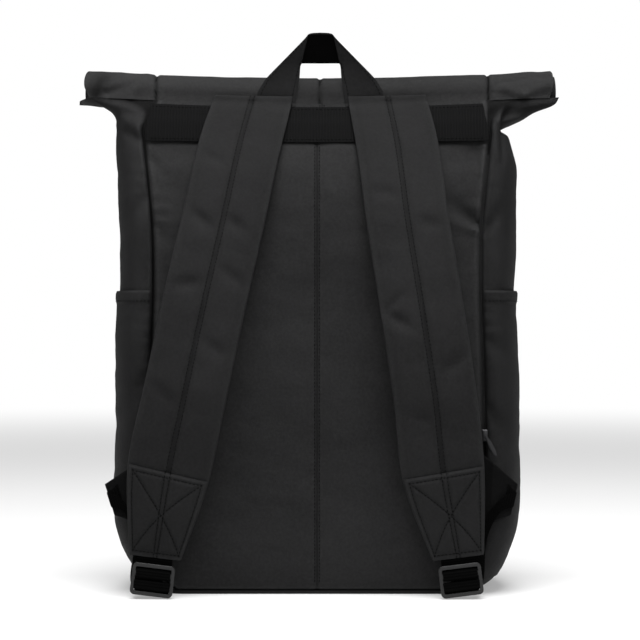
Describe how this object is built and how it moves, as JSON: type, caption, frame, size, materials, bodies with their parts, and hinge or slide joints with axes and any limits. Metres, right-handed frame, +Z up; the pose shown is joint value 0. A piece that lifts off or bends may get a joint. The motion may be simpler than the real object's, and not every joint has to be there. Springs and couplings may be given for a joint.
{
  "type": "roll-top backpack",
  "caption": "Standing roll-top backpack with a wound mouth, filled side gussets, slip pockets, padded straps with ladder-lock buckles and a haul handle",
  "frame": {"origin": "middle of the base panel's underside, on the surface the bag stands on", "axes": "+X to the right of someone who looks at the back panel and its straps, +Y towards the bag's front, +Z up"},
  "size_m": [0.431, 0.1855, 0.4972],
  "materials": {
    "cloth": "black coated plain-weave cloth with a soft, slightly waxy sheen",
    "strap_cloth": "black cloth over foam padding, bound edges and a double-stitched middle seam",
    "webbing": "dull black ribbed webbing",
    "plastic": "dark grey moulded plastic, satin",
    "metal": "dark nickel, worn bright at the edges"
  },
  "bodies": {
    "root": {"back_panel_left": "cloth", "back_panel_right": "cloth", "gusset_left": "cloth", "gusset_right": "cloth", "front_panel": "cloth", "base_panel": "cloth", "roll_top": "cloth", "side_pocket_left": "cloth", "side_pocket_right": "cloth", "strap_patch_left": "cloth", "strap_patch_right": "cloth", "anchor_wing_left": "cloth", "anchor_wing_right": "cloth", "shoulder_strap_left": "strap_cloth", "shoulder_strap_right": "strap_cloth", "top_band": "webbing", "haul_handle": "webbing", "buckle_loop_left": "webbing", "buckle_loop_right": "webbing", "adjust_webbing_left": "webbing", "adjust_webbing_right": "webbing", "zip_strip": "webbing", "closure_strap": "webbing", "closure_anchor": "webbing", "ladder_lock_left": "plastic", "ladder_lock_right": "plastic", "closure_clasp": "plastic", "zip_slider": "metal", "zip_puller": "metal"}
  },
  "joints": []
}
